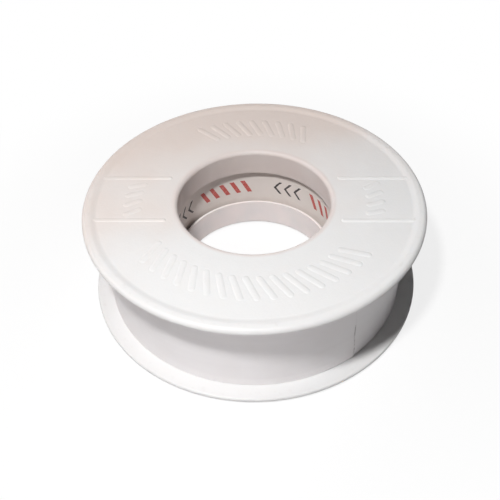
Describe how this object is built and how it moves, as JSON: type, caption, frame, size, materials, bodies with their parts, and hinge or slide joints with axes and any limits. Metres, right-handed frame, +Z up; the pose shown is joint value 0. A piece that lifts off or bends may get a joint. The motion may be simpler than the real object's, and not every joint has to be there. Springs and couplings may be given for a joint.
{
  "type": "roll of electrical tape",
  "caption": "White insulating tape wound on a lined board core between plug-in plastic side discs that turn on the core, with a free tape end that lifts to start unwinding.",
  "frame": {"origin": "middle of the lower disc's underside, on the roll's axis, where the roll stands", "axes": "+Z up along the roll's axis, -Y towards the side that the picture shows in front"},
  "size_m": [0.057, 0.057, 0.0178],
  "materials": {
    "disc_plastic": "satin",
    "core_board": "matte",
    "liner_paper": "matte",
    "tape_film": "satin"
  },
  "bodies": {
    "wound_roll": {"core_tube": "core_board", "core_liner": "liner_paper", "tape_winding": "tape_film", "tape_outer_turn": "tape_film"},
    "upper_disc": {"upper_flange": "disc_plastic"},
    "lower_disc": {"lower_flange": "disc_plastic"},
    "free_end": {"tape_end": "tape_film"}
  },
  "joints": [
    {"name": "upper_flange_turn", "type": "hinge", "parent": "wound_roll", "child": "upper_disc", "pos_m": [0, 0, 0.0167], "axis": [0, 0, 1], "continuous": true},
    {"name": "lower_flange_turn", "type": "hinge", "parent": "wound_roll", "child": "lower_disc", "pos_m": [0, 0, 0.0011], "axis": [0, 0, 1], "continuous": true},
    {"name": "tape_end_lift", "type": "hinge", "parent": "wound_roll", "child": "free_end", "pos_m": [0.00437, -0.02532, 0.0014], "axis": [0, 0, -1], "range_deg": [0, 90]}
  ]
}
